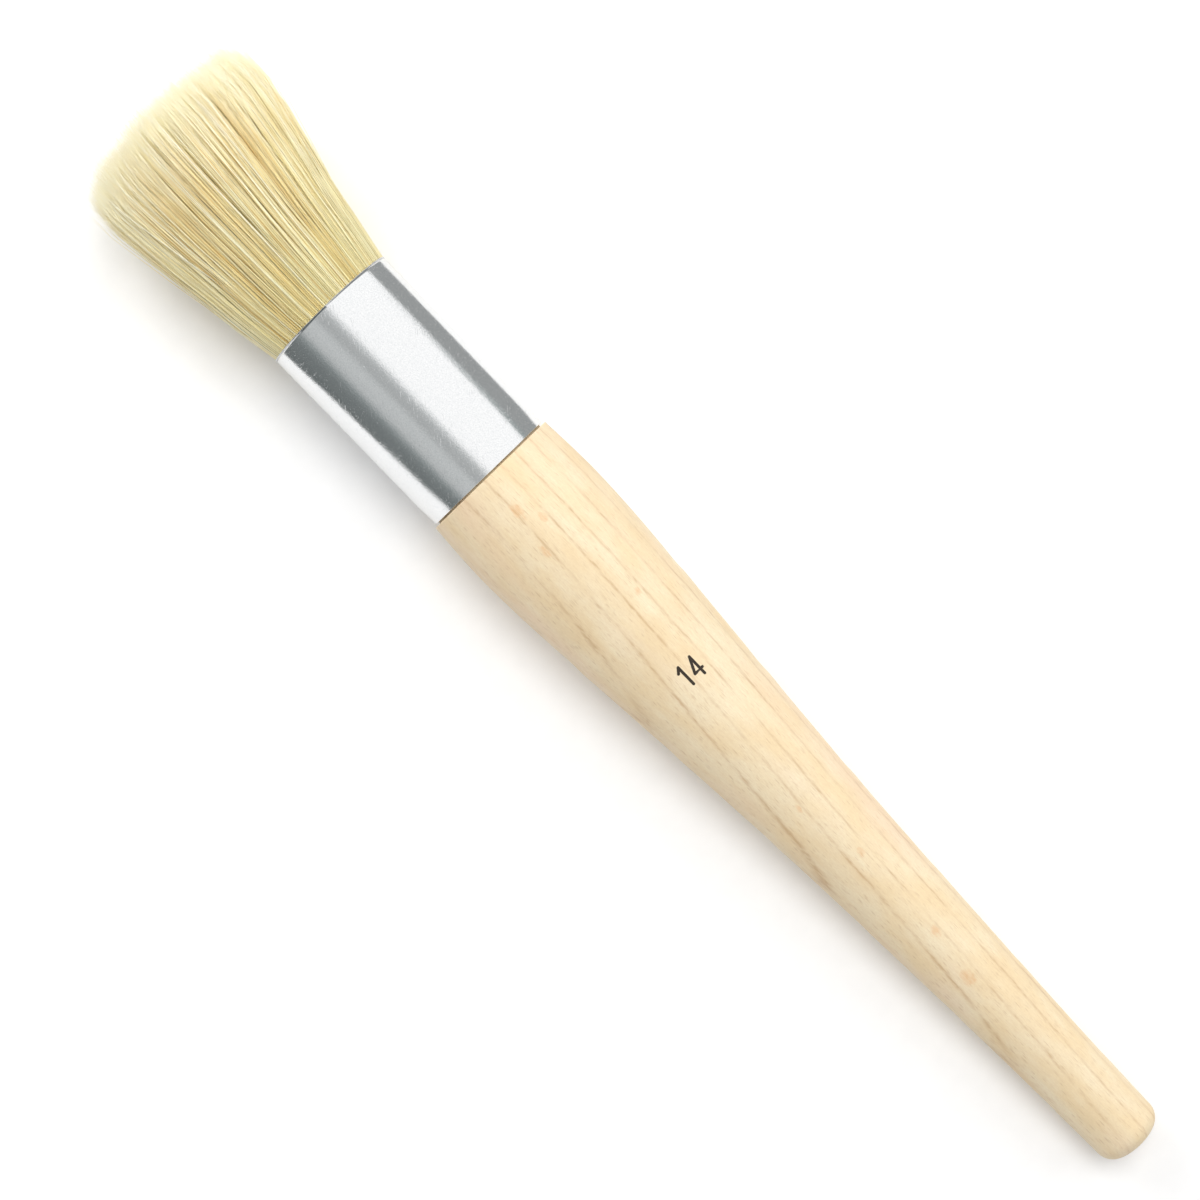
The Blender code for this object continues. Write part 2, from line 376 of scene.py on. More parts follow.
def hog_bristle():
    """Bristles whose points carry how far along they are, as along, and the bristle's tone, as bristle."""
    r = Recipe("hog_bristle")
    along = r.add("Attribute", attribute_name="along").outputs["Fac"]
    tone = r.add("Attribute", attribute_name="bristle").outputs["Fac"]
    tint = r.ramp(tone, *BRISTLE_TINTS)
    # towards the root the tint darkens: partly the bristles' own colour, partly painted shade where they
    # crowd into the ferrule
    root_tint_and_shade = r.mix(1.0, tint, BRISTLE_ROOT_TINT_AND_SHADE, "MULTIPLY")
    tint = r.mix(r.range(along, 0.0, 0.75, 0.95, 0.0), tint, root_tint_and_shade)
    tint = r.mix(r.range(along, 0.62, 0.96, 0.0, 0.72), tint, BRISTLE_TIP)
    streaks_at = r.add("CombineXYZ", {0: r.math("MULTIPLY", along, 9), 1: r.math("MULTIPLY", tone, 900)})
    streak = r.noise(streaks_at.outputs[0])
    tint = r.mix(r.range(streak, 0.45, 0.75, 0.0, 0.2), tint, BRISTLE_STREAK)
    return r.finish(Base_Color=tint, Roughness=0.38, IOR=1.5)


def resin():
    r = Recipe("resin")
    clouds = r.noise(r.place((400,) * 3), detail=3.0)
    colour = r.ramp(clouds, (0.3, srgb(150, 102, 44)), (0.7, srgb(196, 150, 84)))
    return r.finish(Base_Color=colour, Roughness=0.25)


def ink():
    """Stamped ink, thinner in places so that the wood's own pores break it up."""
    r = Recipe("ink")
    pores = r.noise(r.place((1800, 9000, 9000)), detail=3.0, roughness=0.7)
    colour = r.ramp(pores, (0.3, srgb(38, 32, 26)), (0.62, srgb(58, 48, 38)), (0.74, srgb(120, 98, 74)))
    return r.finish(Base_Color=colour, Roughness=0.7)


TABLE_SEEN = 1.16  # the white table is overexposed: the camera sees it brighter than it lights the brush
TABLE_MIRRORED = 0.3  # how much of that overexposure reflections show
TABLE_FADES_FROM = 0.16  # m from the middle: from here on the table fades
TABLE_WHITE_FROM = 0.5  # m from the middle: from here on it is the white background


def white_table():
    r = Recipe("white_table")
    fine = r.noise(r.place((300,) * 3), detail=3.0)
    paper = r.ramp(fine, (0.3, 0.84), (0.7, 0.86))
    ray = r.add("LightPath").outputs
    mirrored = r.math("MULTIPLY", ray["Is Glossy Ray"], TABLE_MIRRORED)
    overexposed = r.mix(1.0, paper, (TABLE_SEEN, TABLE_SEEN, TABLE_SEEN, 1.0), "MULTIPLY")
    seen = r.mix(r.math("MAXIMUM", ray["Is Camera Ray"], mirrored), paper, overexposed)
    matt = r.add("BsdfDiffuse", {"Color": seen})
    # far from the lamps the table fades into the white background
    away = r.add("VectorMath", {0: r.add("TexCoord").outputs["Object"]}, operation="LENGTH").outputs["Value"]
    fade = r.range(away, TABLE_FADES_FROM, TABLE_WHITE_FROM, 0.0, 1.0)
    fade = r.math("MULTIPLY", fade, ray["Is Camera Ray"])
    white = r.add("Emission", {"Strength": 1.0})
    return r.finish_with(r.add("MixShader", {0: fade, 1: matt.outputs[0], 2: white.outputs[0]}))


# The studio as the ferrule mirrors it: (degrees from straight up towards +Y, brightness)
SURROUND = (
    (-100, 0.19),
    (-80, 0.19),
    (-70, 0.22),
    (-63, 0.28),
    (-53, 0.51),
    (-40, 0.56),
    (-30, 0.56),
    (-22, 0.43),
    (-13, 0.45),
    (-6, 0.56),
    (2, 1.02),
    (10, 1.05),
    (100, 1.07),
)
SURROUND_PEAK = 1.1  # a ramp's colours end at 1, so they are a share of this
# Where the ferrule's rear end is mirrored, the softbox's lower edge turns up
EDGE_TURN = (-0.013, -0.007)  # m along the axis
EDGE_ANGLE = (95.0, 82.0)  # degrees
BELOW_EDGE = 0.33


def cool(brightness):
    """A brightness as a colour. The unlit parts of the studio are a little blue-green beside the softbox."""
    red = 1.0
    if brightness < 0.6:
        red = 0.97
    if brightness < 0.35:
        red = 0.91
    return (brightness * red, brightness, brightness, 1.0)


def surround_light():
    r = Recipe("surround_light")
    at = r.split(r.add("TexCoord").outputs["Object"])
    angle = r.math("MULTIPLY", r.math("ARCTAN2", at["Y"], at["Z"]), 180 / math.pi)
    low, high = SURROUND[0][0], SURROUND[-1][0]
    share = r.range(angle, low, high, 0.0, 1.0)
    lit = r.ramp(share, *(((a - low) / (high - low), cool(value / SURROUND_PEAK)) for a, value in SURROUND))
    below = r.math("GREATER_THAN", angle, r.range(at["X"], *EDGE_TURN, *EDGE_ANGLE))
    lit = r.mix(below, lit, cool(BELOW_EDGE))
    return r.finish_with(r.add("Emission", {"Color": lit, "Strength": SURROUND_PEAK}))


def glowing(name, brightness):
    r = Recipe(name)
    return r.finish_with(r.add("Emission", {"Color": cool(brightness), "Strength": 1.0}))


# ---------------------------------------------------------------- meshes


def mesh_object(name, verts, faces, finish, on_axis=True, smooth=True, attributes=None):
    """An object from arrays. Its mesh is in the brush's axis coordinates unless told otherwise."""
    mesh = bpy.data.meshes.new(name)
    mesh.from_pydata([tuple(v) for v in verts], [], [tuple(f) for f in faces])
    mesh.validate()
    for key, values in (attributes or {}).items():
        attribute = mesh.attributes.new(key, "FLOAT", "POINT")
        attribute.data.foreach_set("value", np.asarray(values, np.float32))
    if smooth:
        mesh.shade_smooth()
    mesh.materials.append(finish)
    made = bpy.data.objects.new(name, mesh)
    bpy.context.scene.collection.objects.link(made)
    if on_axis:
        made.matrix_world = AXIS_FRAME
    return made


SIDES = 192


def lathe(profile, ripple, closed=False):
    """Verts and faces of (x, radius) points turned about the axis. ripple(x, angle) adds to the radius."""
    verts, faces = [], []
    angles = np.arange(SIDES) / SIDES * math.tau
    for x, radius in profile:
        reach = radius + ripple(x, angles)
        verts += list(zip(np.full(SIDES, x), reach * np.sin(angles), reach * np.cos(angles)))
    rows = len(profile)
    for row in range(rows if closed else rows - 1):
        after = (row + 1) % rows
        for i in range(SIDES):
            j = (i + 1) % SIDES
            faces.append((row * SIDES + i, row * SIDES + j, after * SIDES + j, after * SIDES + i))
    if not closed:
        faces.append(tuple(range(SIDES - 1, -1, -1)))
        faces.append(tuple((rows - 1) * SIDES + i for i in range(SIDES)))
    return verts, faces


def waves(seed, count, reach, x_scale):
    """A smooth random ripple of (x, angle): a few crossing waves that close round the circle."""
    rng = np.random.default_rng(seed)
    terms = [
        (rng.integers(1, 7), rng.uniform(-1, 1) / x_scale, rng.uniform(0, math.tau), rng.normal(0, 1))
        for _ in range(count)
    ]
    total = math.sqrt(count)

    def ripple(x, angle):
        wave = sum(size * np.cos(lobes * angle + rate * x + start) for lobes, rate, start, size in terms)
        return reach * wave / total

    return ripple


TENON_GAP = 0.3 * MM
TENON_CHAMFER = 0.6 * MM
SHOULDER_ROUNDING = 0.15 * MM
BUTT_ROUNDING = 2.5 * MM
BUTT_DOME_HEIGHT = 0.04 * MM  # of the small end face
BUTT_DOME_WIDTH = 1.2 * MM
LATHE_STEP = 0.6 * MM
HAND_SANDING = waves(seed=11, count=9, reach=0.03 * MM, x_scale=7 * MM)


def handle_outline():
    """The handle's (x, radius) profile: tenon, shoulder with a softened edge, long curve, rounded butt."""
    shoulder = HANDLE_X[HANDLE_R > BORE_RADIUS].min()
    tenon = BORE_RADIUS - TENON_GAP
    inside = HANDLE_X < shoulder + PLACE_STEP / 2
    profile = [
        (HANDLE_X.min(), tenon - TENON_CHAMFER),
        (HANDLE_X.min() + TENON_CHAMFER, tenon),
        (HANDLE_X[inside].max(), tenon),
    ]
    curve_end = BUTT_END - BUTT_ROUNDING + PLACE_STEP / 2
    body = (HANDLE_X > shoulder + PLACE_STEP) & (HANDLE_X < curve_end)
    xs, rs = HANDLE_X[body], HANDLE_R[body]
    start_radius = smooth_curve(xs, rs, np.array([shoulder + SHOULDER_ROUNDING]))[0]
    # the shoulder's edge, from its face out to the handle's side
    for turn in np.linspace(0, math.pi / 2, 7)[::-1]:
        x = shoulder + SHOULDER_ROUNDING * (1 - math.sin(turn))
        profile.append((x, start_radius - SHOULDER_ROUNDING * (1 - math.cos(turn))))
    for x in np.arange(shoulder + SHOULDER_ROUNDING + LATHE_STEP, xs.max(), LATHE_STEP):
        profile.append((x, smooth_curve(xs, rs, np.array([x]))[0]))
    for turn in np.linspace(0, math.pi / 2, 15):
        reach = BUTT_ROUNDING * (1 - math.cos(turn))
        profile.append((BUTT_END - BUTT_ROUNDING * (1 - math.sin(turn)), rs[-1] - reach))
    profile.append((BUTT_END + BUTT_DOME_HEIGHT, rs[-1] - BUTT_ROUNDING - BUTT_DOME_WIDTH))
    return profile


def handle(finish):
    verts, faces = lathe(handle_outline(), HAND_SANDING)
    return mesh_object("wooden_handle", verts, faces, finish)


LIP = 0.06 * MM  # rounding of the tube's cut edges
CRIMP = 0.17 * MM  # how far the rear end is drawn in
CRIMP_LENGTH = 5.0 * MM
TUBE_STEP = 0.35 * MM


def ferrule(finish):
    """The tube, drawn in a little at its rear end, with rounded lips."""
    dents = waves(seed=23, count=10, reach=0.018 * MM, x_scale=4 * MM)

    def outside(x):
        return FERRULE_RADIUS - CRIMP * smooth_step(FERRULE_LENGTH - CRIMP_LENGTH, FERRULE_LENGTH, x) ** 2

    profile = [(x, outside(x)) for x in np.arange(LIP, FERRULE_LENGTH - LIP + 1e-9, TUBE_STEP)]
    for end, sign in ((FERRULE_LENGTH, 1), (0.0, -1)):
        middle = outside(end) - LIP
        inner = BORE_RADIUS + LIP
        arc = np.linspace(0, math.pi / 2, 6)
        lip = [(end - sign * LIP * (1 - math.sin(a)), middle + LIP * math.cos(a)) for a in arc]
        lip += [(end - sign * LIP * (1 - math.cos(a)), inner - LIP * math.sin(a)) for a in arc]
        profile += lip[::sign]
    verts, faces = lathe(profile, dents, closed=True)
    return mesh_object("ferrule_tube", verts, faces, finish)


# The size number stamped on the handle: strokes on a grid where a digit is 1 wide and 2 high
DIGITS = {
    "1": [[(0.2, 1.55), (0.62, 2.0), (0.62, 0.0)]],
    "4": [[(0.78, 0.0), (0.78, 2.0), (0.0, 0.55), (1.05, 0.55)]],
}
STAMP = "14"
STAMP_PLACE = 71.0 * MM  # behind the mouth
STAMP_ASIDE = 0.9 * MM  # towards +Y
DIGIT_UNIT = 1.46 * MM
DIGIT_STRETCH = (0.95, 1.08)  # of the unit, across and along
DIGIT_PITCH = 1.95 * MM
STROKE = 0.42 * MM
INK_HEIGHT = 0.02 * MM  # above the wood
CLEAR_OF_FERRULE = 0.5 * MM  # behind its rear end only the handle's long curve is left


def stroke_outline(start, end):
    """The outline of a straight stroke with round ends."""
    heading = math.atan2(end[1] - start[1], end[0] - start[0])
    outline = []
    for (across, along), first in ((end, heading - math.pi / 2), (start, heading + math.pi / 2)):
        for turn in np.linspace(first, first + math.pi, 9):
            outline.append((across + STROKE / 2 * math.cos(turn), along + STROKE / 2 * math.sin(turn)))
    return outline


def stamp_strokes():
    """The number's straight strokes, as pairs of (across, along) ends measured from its middle."""
    width = DIGIT_PITCH * (len(STAMP) - 1) + DIGIT_UNIT
    wide, high = DIGIT_STRETCH
    for place, digit in enumerate(STAMP):
        left = place * DIGIT_PITCH - width / 2
        for line in DIGITS[digit]:
            points = [(left + DIGIT_UNIT * u * wide, DIGIT_UNIT * (v - 1) * high) for u, v in line]
            yield from zip(points, points[1:])


def stamp(finish):
    """The number as flat rounded strokes that follow the handle's surface."""
    body = HANDLE_X > FERRULE_LENGTH + CLEAR_OF_FERRULE
    verts, faces = [], []

    def lay(across, along):
        x = STAMP_PLACE - along
        radius = smooth_curve(HANDLE_X[body], HANDLE_R[body], np.array([x]))[0] + INK_HEIGHT
        angle = (STAMP_ASIDE + across) / radius
        radius += HAND_SANDING(x, angle)
        return (x, radius * math.sin(angle), radius * math.cos(angle))

    for start, end in stamp_strokes():
        outline = stroke_outline(start, end)
        base, count = len(verts), len(outline)
        verts.append(lay((start[0] + end[0]) / 2, (start[1] + end[1]) / 2))
        verts += [lay(across, along) for across, along in outline]
        faces += [(base, base + 1 + i, base + 1 + (i + 1) % count) for i in range(count)]
    return mesh_object("size_stamp", verts, faces, finish)


# ---------------------------------------------------------------- bristles

BRISTLES = 13500
WISPS = 1700  # a few bristles each, which cling together along their whole length
LOCK_COUNT = 170  # loose groups of wisps
STATIONS = 8  # points along each bristle
GOLDEN = math.pi * (3 - math.sqrt(5))

# Roots. Each kind of place is (how far the outermost keep inside the roots' circle, how far each strays)
ROOT_IN = 3.0 * MM  # how far the modelled bristles reach into the ferrule
ROOT_GAP = 0.12 * MM  # between the roots' circle and the bore
BRISTLE_PLACES = (0.1 * MM, 0.04 * MM)
WISP_PLACES = (0.15 * MM, 0.08 * MM)
LOCK_PLACES = (0.4 * MM, 0.3 * MM)

# Length
CROWN = 0.35 * MM  # the outermost bristles end this much earlier
TIP_MARGIN = 0.2 * MM  # leaves room for the longest bristles inside the overall length
LOW_SIDE_CROWN = 1.8 * MM  # the bristles on the -Y side end a little earlier
OWN_LENGTH, WISP_LENGTH, LOCK_LENGTH = 0.7 * MM, 0.35 * MM, 0.3 * MM  # standard deviations
SHORT_SHARE = 0.5  # of the bristles end early
SHORT_BY = 2.2 * MM  # on average

# Direction
LEAN = 1.35 * MM  # how far the whole tuft leans to one side at its tips
TIPS_DRAWN_IN = 0.035  # of the spread
SPREAD = 0.985  # of the CAD tuft's, which leaves room for strays
OWN_SWAY, WISP_SWAY, LOCK_SWAY = 0.26 * MM, 0.22 * MM, 0.2 * MM  # standard deviations, at the tips
STRAY_SHARE, STRAY_SWAY = 0.15, 3.4  # of the bristles sway this many times more
WILD_SHARE, WILD_SWAY = 0.008, 1.9  # and of these strays, a few more still
WAVE_SIZE = 0.03 * MM
WAVE_RATE = (0.6, 1.3)  # waves in the free length
CLING, PARTING = 0.8, 0.5  # bristles close in on their wisp's middle, and part again at the tips
WISP_CLING = (0.15, 1.0)  # some wisps cling less than others
GATHER = 0.13  # wisps close in on their lock's middle

# Thickness, and tone: from 0, the darkest tint, to 1, the palest
BRISTLE_RADIUS = 0.09 * MM
TIP_RADIUS = 0.034 * MM
THICKNESS = (0.7, 1.15)  # beside those radii
TONE, TONE_LIMIT = 0.56, 0.78
OWN_TONE, WISP_TONE, LOCK_TONE = 0.19, 0.1, 0.07  # standard deviations
COARSE_SHARE = 0.1  # of the bristles are thick and pale, and stand out from the rest
COARSE_SWAY, COARSE_THICKNESS, COARSE_TONE = 1.7, 0.45, 0.97  # times the sway, added thickness, tone

SPLIT_ENDS = 2  # to each bristle
SPLIT_RADIUS = 0.022 * MM
SPLIT_START = (0.80, 0.93)  # share of the bristle's length
SPLIT_LENGTH = (0.5, 1.15)  # beside the rest of the bristle
SPLIT_EXTRA = 1.4 * MM  # at most, added to the length
SPLIT_ASIDE = 0.055  # slope, as a standard deviation


def spiral(count, radius, places, rng):
    """Points spread evenly over a disc, as (y, z), each strayed a little from its place."""
    margin, strayed = places
    i = np.arange(count)
    reach = (radius - margin) * np.sqrt((i + 0.5) / count)
    angle = i * GOLDEN
    points = np.stack([reach * np.sin(angle), reach * np.cos(angle)], axis=1)
    return points + rng.normal(0, strayed, points.shape)


def tubes(paths, radii):
    """Three-sided tubes along paths[bristle, station, xyz], closed at the root and pointed at the tip."""
    count, stations, _ = paths.shape
    turn = np.arange(3) / 3 * math.tau
    ring = np.stack([np.zeros(3), np.sin(turn), np.cos(turn)], axis=1)
    body = paths[:, :-1, None, :] + radii[:, :-1, None, None] * ring
    tips = paths[:, -1, :]
    rows = stations - 1
    each = rows * 3 + 1
    verts = np.concatenate([body.reshape(count, rows * 3, 3), tips[:, None, :]], axis=1).reshape(-1, 3)
    faces = []
    for row in range(rows - 1):
        for i in range(3):
            j = (i + 1) % 3
            a, b, c, d = row * 3 + i, row * 3 + j, (row + 1) * 3 + j, (row + 1) * 3 + i
            faces += [(a, d, c), (a, c, b)]
    last = (rows - 1) * 3
    faces += [(last + i, each - 1, last + (i + 1) % 3) for i in range(3)]
    faces.append((0, 1, 2))
    all_faces = (np.arange(count) * each)[:, None, None] + np.array(faces)[None]
    return verts, all_faces.reshape(-1, 3), each


def nearest(points, centres):
    """For every point, which centre is nearest."""
    gaps = ((points[:, None, :] - centres[None]) ** 2).sum(axis=2)
    return gaps.argmin(axis=1)


def above_table(x):
    """The lowest height, in axis coordinates, at which a bristle still lies on the table and not in it."""
    return (BRISTLE_RADIUS - MOUTH.z - x * ALONG.z) / UP.z


def bristle_lengths(rng, roots, root_radius, wisp, lock):
    """How far every bristle reaches out of the ferrule, along the axis."""
    depth = np.linalg.norm(roots, axis=1) / root_radius
    low_side = np.clip(-roots[:, 0] / root_radius, 0, 1)
    length = FREE_LENGTH - TIP_MARGIN - CROWN * depth**2 - LOW_SIDE_CROWN * low_side**3
    length = length + rng.normal(0, LOCK_LENGTH, LOCK_COUNT)[lock] + rng.normal(0, WISP_LENGTH, WISPS)[wisp]
    length = length + rng.normal(0, OWN_LENGTH, BRISTLES)
    short = rng.random(BRISTLES) < SHORT_SHARE
    return length - short * rng.exponential(SHORT_BY, BRISTLES)


def tuft_paths(rng):
    """Every bristle's path and root, which wisp and loose lock it belongs to, and which are coarse."""
    root_radius = BORE_RADIUS - ROOT_GAP
    roots = spiral(BRISTLES, root_radius, BRISTLE_PLACES, rng)
    wisps = spiral(WISPS, root_radius, WISP_PLACES, rng)
    locks = spiral(LOCK_COUNT, root_radius, LOCK_PLACES, rng)
    wisp = nearest(roots, wisps)
    lock = nearest(wisps, locks)[wisp]
    length = bristle_lengths(rng, roots, root_radius, wisp, lock)
    x = ROOT_IN - (ROOT_IN + length[:, None]) * np.linspace(0, 1, STATIONS)[None]
    reach = np.clip(-x / FREE_LENGTH, 0, 1)
    # how much wider the tuft is than at its root, as the CAD tuft is
    spread = smooth_curve(TUFT_X, TUFT_R, np.clip(x, TUFT_X.min(), TUFT_X.max())) / TUFT_R[-1]
    drawn_in = 1 - TIPS_DRAWN_IN * smooth_step(0.4, 1.0, -x / FREE_LENGTH)
    spread = np.where(x > 0, 1.0, spread * drawn_in) * SPREAD
    cling = CLING * smooth_step(0.05, 0.5, reach) - PARTING * smooth_step(0.72, 1.0, reach)
    cling = cling * rng.uniform(*WISP_CLING, WISPS)[wisp][:, None]
    gather = GATHER * smooth_step(0.15, 0.9, reach)
    sway = rng.normal(0, LOCK_SWAY, (LOCK_COUNT, 2))[lock] + rng.normal(0, WISP_SWAY, (WISPS, 2))[wisp]
    stray = rng.random(BRISTLES)
    own_sway = rng.normal(0, OWN_SWAY, (BRISTLES, 2))
    own_sway = own_sway * np.where(stray < STRAY_SHARE, STRAY_SWAY, 1.0)[:, None]
    own_sway = own_sway * np.where(stray < WILD_SHARE, WILD_SWAY, 1.0)[:, None]
    coarse = rng.random(BRISTLES) < COARSE_SHARE
    own_sway = own_sway * np.where(coarse, COARSE_SWAY, 1.0)[:, None]
    wave_start = rng.uniform(0, math.tau, (BRISTLES, 2))
    wave_size = rng.gamma(2.0, WAVE_SIZE, (BRISTLES, 2))
    wave_rate = rng.uniform(*WAVE_RATE, (BRISTLES, 2))
    paths = np.empty((BRISTLES, STATIONS, 3))
    paths[:, :, 0] = x
    for side in range(2):
        to_wisp = (roots[:, side] - wisps[wisp, side])[:, None] * (1 - cling)
        to_lock = (wisps[wisp, side] - locks[lock, side])[:, None] * (1 - gather)
        lean = (sway[:, side] + own_sway[:, side])[:, None] * reach**1.6
        turn = wave_rate[:, side, None] * reach * math.tau + wave_start[:, side, None]
        wave = wave_size[:, side, None] * np.sin(turn) * smooth_step(0.0, 0.5, reach)
        paths[:, :, 1 + side] = (locks[lock, side][:, None] + to_lock + to_wisp) * spread + lean + wave
    paths[:, :, 1] += LEAN * reach**1.5
    paths[:, :, 2] = np.maximum(paths[:, :, 2], above_table(x))
    return paths, roots, wisp, lock, coarse


def split_ends(paths, rng):
    """Fine split ends for every bristle, leaving it a little before its tip."""
    count = len(paths)
    rows = np.arange(count)
    heading = paths[:, -1] - paths[:, -3]
    heading /= np.linalg.norm(heading, axis=1)[:, None]
    made = []
    for _ in range(SPLIT_ENDS):
        place = rng.uniform(*SPLIT_START, count) * (STATIONS - 1)
        low = np.minimum(place.astype(int), STATIONS - 2)
        part = (place - low)[:, None]
        start = paths[rows, low] * (1 - part) + paths[rows, low + 1] * part
        size = rng.uniform(*SPLIT_LENGTH, count) * np.linalg.norm(paths[:, -1] - start, axis=1)
        size = size + rng.uniform(0.0, SPLIT_EXTRA, count)
        aside = rng.normal(0, SPLIT_ASIDE, (count, 3))
        aside[:, 0] = 0.0
        middle = start + heading * (size * 0.5)[:, None] + aside * (size * 0.35)[:, None]
        end = start + heading * size[:, None] + aside * size[:, None]
        for points in (middle, end):
            points[:, 2] = np.maximum(points[:, 2], above_table(points[:, 0]))
        made.append(np.stack([start, middle, end], axis=1))
    return made


def lock_of(roots):
    """Which CAD lock each root belongs to: the core, or a ring and a place round it."""
    rings = ("core", "inner", "middle", "outer")
    depth = np.linalg.norm(roots, axis=1)
    # the core's radius is half a ring's width
    ring = np.clip(np.round(depth / (TUFT_R[-1] / (len(rings) - 0.5))), 0, len(rings) - 1).astype(int)
    angle = np.arctan2(roots[:, 0], roots[:, 1]) % math.tau
    names = []
    for own_ring, own_angle in zip(ring, angle):
        if own_ring == 0:
            names.append("bristle_lock_core")
            continue
        # each ring outwards has six locks more
        place = int(own_angle / math.tau * own_ring * 6) + 1
        names.append(f"bristle_lock_{rings[own_ring]}_{place:02d}")
    return np.array(names)


def joined(tube_sets):
    """Several sets of tubes, each (verts, faces, along, tone), as one."""
    base, moved = 0, []
    for verts, faces, along, tone in tube_sets:
        moved.append((verts, faces + base, along, tone))
        base += len(verts)
    return [np.concatenate(kind) for kind in zip(*moved)]


def bristles(finish):
    """One piece for each CAD lock, with its bristles and their split ends."""
    rng = np.random.default_rng(4)
    paths, roots, wisp, lock, coarse = tuft_paths(rng)
    tone = TONE + rng.normal(0, OWN_TONE, BRISTLES) + rng.normal(0, WISP_TONE, WISPS)[wisp]
    tone = tone + rng.normal(0, LOCK_TONE, LOCK_COUNT)[lock]
    tone = np.where(coarse, COARSE_TONE, np.clip(tone, 0, TONE_LIMIT))
    thick = rng.uniform(*THICKNESS, BRISTLES)
    thick = np.where(coarse, thick + COARSE_THICKNESS, thick)
    taper = BRISTLE_RADIUS + (TIP_RADIUS - BRISTLE_RADIUS) * np.linspace(0, 1, STATIONS) ** 1.5
    radii = thick[:, None] * taper[None]
    splits = split_ends(paths, rng)
    names = lock_of(roots)
    made = []
    for node in LOCKS:
        mine = names == node
        verts, faces, each = tubes(paths[mine], radii[mine])
        share = -paths[mine][:, :, 0] / FREE_LENGTH
        along = np.concatenate([np.repeat(share[:, :-1], 3, axis=1), share[:, -1:]], axis=1).ravel()
        tube_sets = [(verts, faces, along, np.repeat(tone[mine], each))]
        for split in splits:
            split_radii = np.broadcast_to([SPLIT_RADIUS, SPLIT_RADIUS * 0.8, 0.0], (mine.sum(), 3))
            verts, faces, each = tubes(split[mine], split_radii)
            tube_sets.append((verts, faces, np.ones(len(verts)), np.repeat(tone[mine], each)))
        verts, faces, along, own = joined(tube_sets)
        attributes = {"along": np.clip(along, 0, 1), "bristle": own}
        name = node.replace("bristle_lock", "bristles")
        made.append((mesh_object(name, verts, faces, finish, smooth=False, attributes=attributes), node))
    return made


# ---------------------------------------------------------------- studio

VIEW_WIDTH = 168.1 * MM  # what the frame's width shows at the height of the brush's axis
CAMERA_HEIGHT = 430 * MM
CAMERA_TURN = math.radians(45.87)  # the brush runs from the upper left to the lower right
SENSOR = 36.0  # mm
AIM = (55.7 * MM, -1.18 * MM)  # along the axis from the mouth, and across


def camera():
    data = bpy.data.cameras.new("camera")
    data.sensor_width = SENSOR
    data.lens = SENSOR * CAMERA_HEIGHT / VIEW_WIDTH
    data.clip_start = 0.01
    data.clip_end = 20.0
    made = bpy.data.objects.new("camera", data)
    bpy.context.scene.collection.objects.link(made)
    target = MOUTH + ALONG * AIM[0] + ACROSS * AIM[1]
    made.location = (target.x, target.y, MOUTH.z + CAMERA_HEIGHT)
    made.rotation_euler = (0.0, 0.0, CAMERA_TURN)
    bpy.context.scene.camera = made


def only_mirrored(made):
    """Staging that is seen in reflections and nowhere else."""
    made.visible_camera = False
    made.visible_shadow = False
    made.visible_diffuse = False
    made.visible_transmission = False


SURROUND_RADIUS = 0.6  # m
SURROUND_HALF_LENGTH = 0.7  # m
SURROUND_EDGES = 60


def surround():
    """A half cylinder round the brush's axis."""
    ends = (-SURROUND_HALF_LENGTH, SURROUND_HALF_LENGTH)
    angles = np.radians(np.linspace(SURROUND[0][0], SURROUND[-1][0], SURROUND_EDGES))
    verts = [(x, SURROUND_RADIUS * math.sin(a), SURROUND_RADIUS * math.cos(a)) for a in angles for x in ends]
    faces = [(2 * i, 2 * i + 1, 2 * i + 3, 2 * i + 2) for i in range(len(angles) - 1)]
    only_mirrored(mesh_object("surround", verts, faces, surround_light()))


FLAG_HEIGHT = 0.5 * MM
# Dark flags lying beside the brush: (name, brightness, near edge as points of (x, y), far edge's y), in mm
DARK_FLAGS = (
    ("flag_right", 0.35, ((-300, 27), (300, 27)), 600),
    ("flag_left", 0.17, ((-300, -39), (-10, -41), (0, -54), (16, -108), (26, -300)), -600),
)


def flag(name, brightness, near_edge, far):
    """A dark flag lying on the table beside the brush."""
    verts = [(x * MM, y * MM, FLAG_HEIGHT) for x, y in near_edge]
    verts += [(x * MM, far * MM, FLAG_HEIGHT) for x, _ in near_edge]
    count = len(near_edge)
    faces = [(i, i + 1, i + 1 + count, i + count) for i in range(count - 1)]
    made = mesh_object(name, verts, faces, glowing(name, brightness), on_axis=False)
    made.location = (MOUTH.x, 0.0, 0.0)
    only_mirrored(made)


# Soft lamps: (name, watts, size in m, degrees from straight up towards +Y, distance in m, x in m)
LAMPS = (
    ("overhead", 3.85, 0.5, 14, 1.0, -0.12),
    ("side", 3.6, 1.0, 60, 1.0, 0.0),
    ("front", 0.8, 0.25, 0, 0.3, -0.4),
)


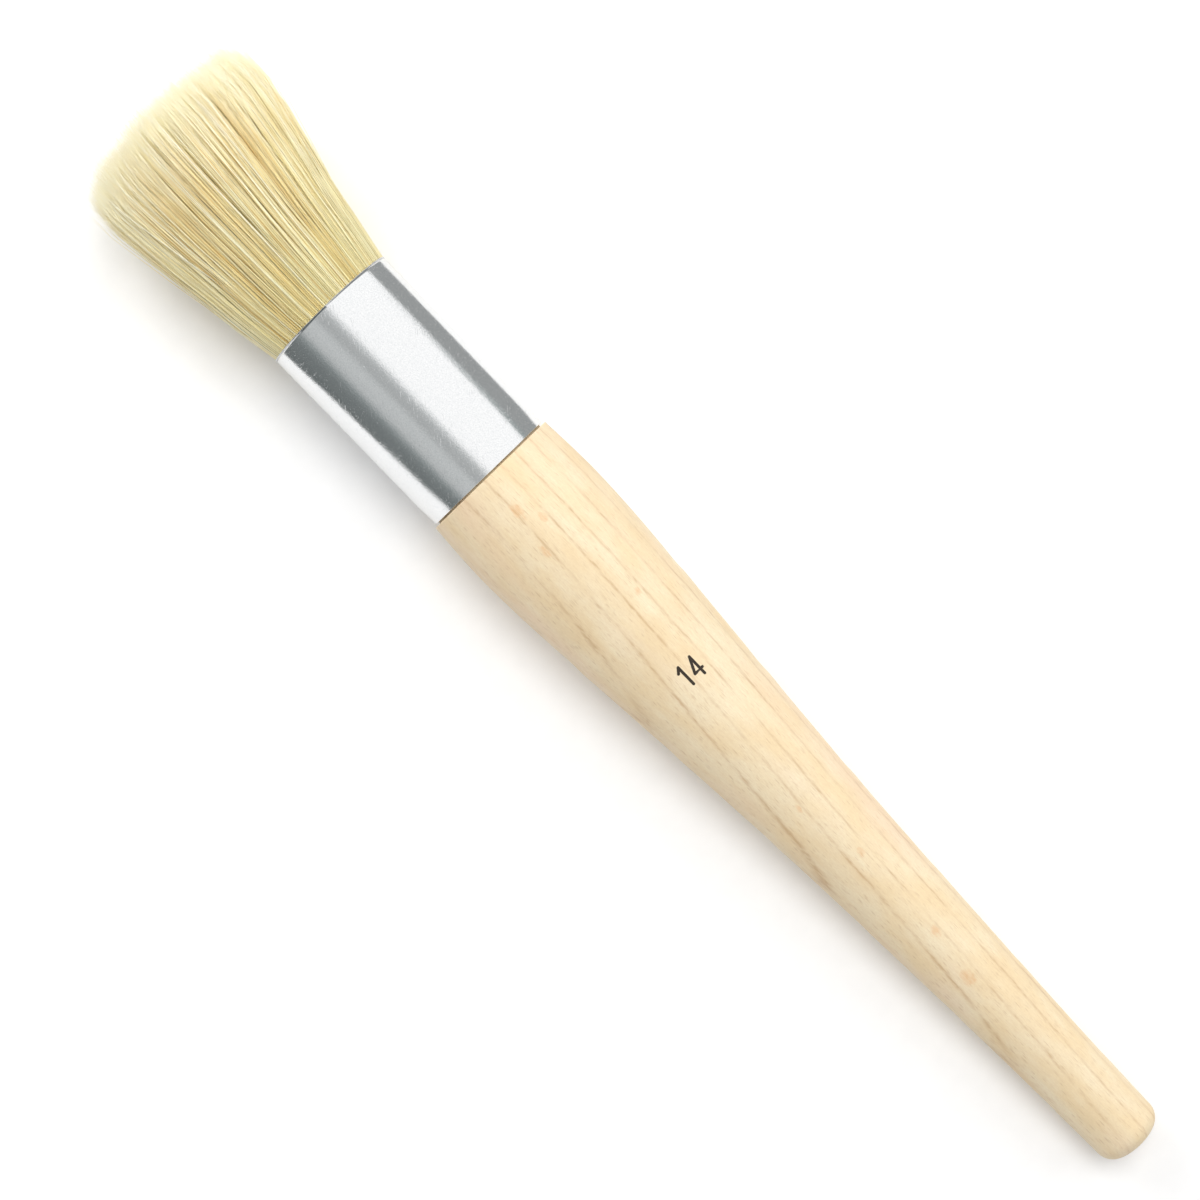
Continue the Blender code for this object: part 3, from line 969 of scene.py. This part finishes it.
def lamp(name, power, size, around, distance, along):
    """A square soft light aimed at the brush."""
    data = bpy.data.lights.new(name, "AREA")
    data.shape = "SQUARE"
    data.size = size
    data.energy = power
    made = bpy.data.objects.new(name, data)
    bpy.context.scene.collection.objects.link(made)
    turn = math.radians(around)
    made.location = (along, distance * math.sin(turn), distance * math.cos(turn))
    made.rotation_euler = (Vector((0, 0, 0)) - made.location).to_track_quat("-Z", "Y").to_euler()
    made.visible_camera = False
    made.visible_glossy = False


TABLE_HALF = 3.0  # m


def table(finish):
    corners = ((-1, -1), (1, -1), (1, 1), (-1, 1))
    verts = [(TABLE_HALF * x, TABLE_HALF * y, 0) for x, y in corners]
    made = mesh_object("table", verts, [(0, 1, 2, 3)], finish, on_axis=False)


SKY = 0.53  # how bright the room is, except to the camera, which sees plain white


def room_light():
    world = bpy.data.worlds.new("studio")
    bpy.context.scene.world = world
    world.use_nodes = True
    nodes, links = world.node_tree.nodes, world.node_tree.links
    sky = nodes["Background"]
    ray = nodes.new("ShaderNodeLightPath")
    by_ray = nodes.new("ShaderNodeMix")
    by_ray.data_type = "FLOAT"
    links.new(ray.outputs["Is Camera Ray"], by_ray.inputs[0])
    by_ray.inputs[2].default_value = SKY
    by_ray.inputs[3].default_value = 1.0
    links.new(by_ray.outputs[0], sky.inputs["Strength"])
    sky.inputs["Color"].default_value = (1.0, 1.0, 1.0, 1.0)


def studio():
    room_light()
    table(white_table())
    surround()
    for settings in DARK_FLAGS:
        flag(*settings)
    for settings in LAMPS:
        lamp(*settings)
    camera()
    scene = bpy.context.scene
    scene.view_settings.view_transform = "Standard"
    scene.cycles.max_bounces = 16
    scene.cycles.diffuse_bounces = 12
    scene.cycles.transmission_bounces = 16


# ---------------------------------------------------------------- putting it together


def main():
    wood, metal, hair, ink_finish = beech(), aluminium(), hog_bristle(), ink()
    wooden = handle(wood)
    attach(wooden, HOLDER)
    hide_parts("handle")
    tube = ferrule(metal)
    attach(tube, HOLDER)
    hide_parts("ferrule")
    number = stamp(ink_finish)
    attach(number, HOLDER)
    frame["nodes"]["resin_setting"].data.materials.clear()
    frame["nodes"]["resin_setting"].data.materials.append(resin())
    for piece, node in bristles(hair):
        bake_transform(piece)
        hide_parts(node)
    studio()


main()
